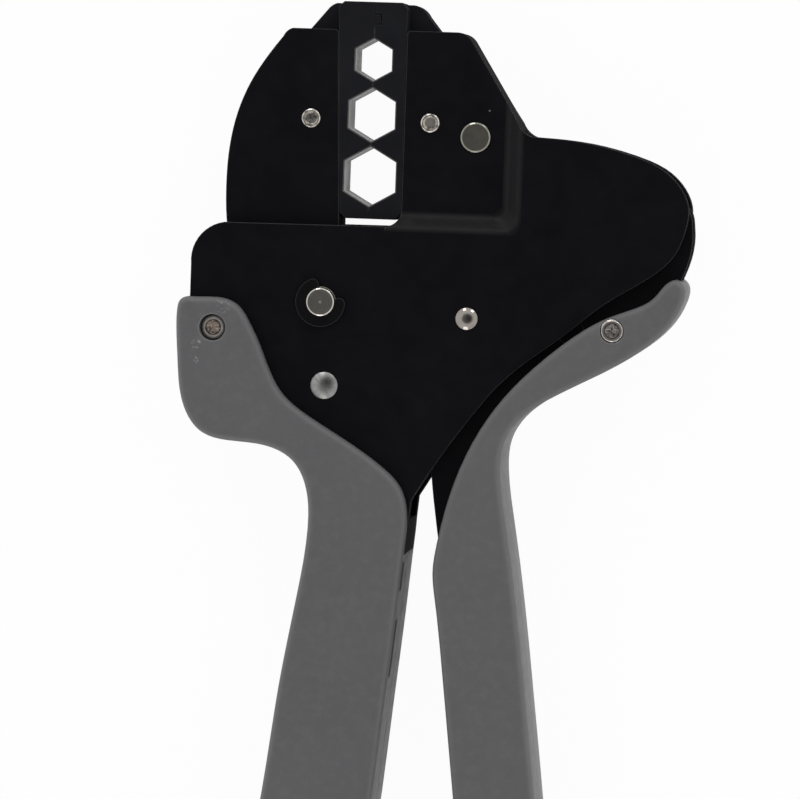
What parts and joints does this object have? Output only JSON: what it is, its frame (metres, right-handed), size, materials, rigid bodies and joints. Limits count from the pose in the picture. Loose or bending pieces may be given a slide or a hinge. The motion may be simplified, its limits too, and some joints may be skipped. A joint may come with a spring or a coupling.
{
  "type": "coaxial crimping tool",
  "caption": "Ratchet hand crimper for coaxial connectors: black plate frame, hexagonal nest dies, toggle-driven jaw and grey moulded grips.",
  "frame": {"origin": "centre of the footprint on the bench, tool closed and lying on its back", "axes": "+Y towards the dies along the tool, +X to the moving handle seen from the front, +Z out of the front face"},
  "size_m": [0.0906, 0.221, 0.019],
  "materials": {
    "frame_black": "satin black coated steel plate",
    "ring_black": "phosphated spring steel",
    "die_steel": "blued tool steel",
    "pin_nickel": "turned and plated",
    "screw_nickel": "nickel plated",
    "inner_steel": "oiled bare steel",
    "spring_steel": "drawn wire",
    "grip_grey": "moulded matt grey"
  },
  "bodies": {
    "frame": {"fixed_die": "die_steel", "fixed_die_screw": "screw_nickel", "fixed_grip_front": "grip_grey", "fixed_grip_nuts": "screw_nickel", "fixed_grip_rear": "grip_grey", "fixed_grip_screws": "screw_nickel", "fixed_grip_sleeve": "inner_steel", "fixed_handle_spacer": "frame_black", "fixed_jaw_rivet": "pin_nickel", "fixed_jaw_spacer": "frame_black", "front_frame_plate": "frame_black", "handle_pivot_pin": "frame_black", "jaw_pivot_pin": "pin_nickel", "jaw_pivot_rings": "ring_black", "pawl_pivot_rivet": "pin_nickel", "pawl_spring": "spring_steel", "pawl_spring_peg": "frame_black", "rear_frame_plate": "frame_black", "return_spring": "spring_steel", "return_spring_peg": "frame_black", "stop_rivet": "pin_nickel", "stop_sleeve": "inner_steel"},
    "handle": {"handle_bush": "inner_steel", "knee_pin": "frame_black", "moving_grip_front": "grip_grey", "moving_grip_nuts": "screw_nickel", "moving_grip_rear": "grip_grey", "moving_grip_screws": "screw_nickel", "moving_grip_sleeve": "inner_steel", "moving_handle_front_plate": "frame_black", "moving_handle_rear_plate": "frame_black", "moving_handle_spacer": "frame_black", "return_spring_post": "inner_steel"},
    "moving_jaw": {"jaw_link_pin": "inner_steel", "moving_die": "die_steel", "moving_die_screw": "screw_nickel", "moving_jaw_core": "frame_black", "moving_jaw_front_plate": "frame_black", "moving_jaw_rear_plate": "frame_black", "moving_jaw_rivets": "frame_black"},
    "link": {"toggle_link": "inner_steel"},
    "pawl": {"pawl": "inner_steel"}
  },
  "joints": [
    {"name": "handle_swing", "type": "hinge", "parent": "frame", "child": "handle", "pos_m": [0.03769, 0.0688, 0.0095], "axis": [0, 0, 1], "range_deg": [0, 24], "deforming": ["return_spring"]},
    {"name": "jaw_swing", "type": "hinge", "parent": "frame", "child": "moving_jaw", "pos_m": [-0.01981, 0.0573, 0.0095], "axis": [0, 0, 1], "range_deg": [0, 11.1]},
    {"name": "link_swing", "type": "hinge", "parent": "handle", "child": "link", "pos_m": [0.02429, 0.0539, 0.0095], "axis": [0, 0, 1], "range_deg": [-33.2, 0]},
    {"name": "pawl_tilt", "type": "hinge", "parent": "frame", "child": "pawl", "pos_m": [0.00619, 0.0553, 0.0095], "axis": [0, 0, 1], "range_deg": [0, 10], "stiffness_Nm_per_rad": 0.02, "springref_deg": -28.65, "deforming": ["pawl_spring"]}
  ],
  "couplings": [
    {"joint": "jaw_swing", "follows": "handle_swing", "ratio": 0.462},
    {"joint": "link_swing", "follows": "handle_swing", "ratio": -1.38}
  ]
}
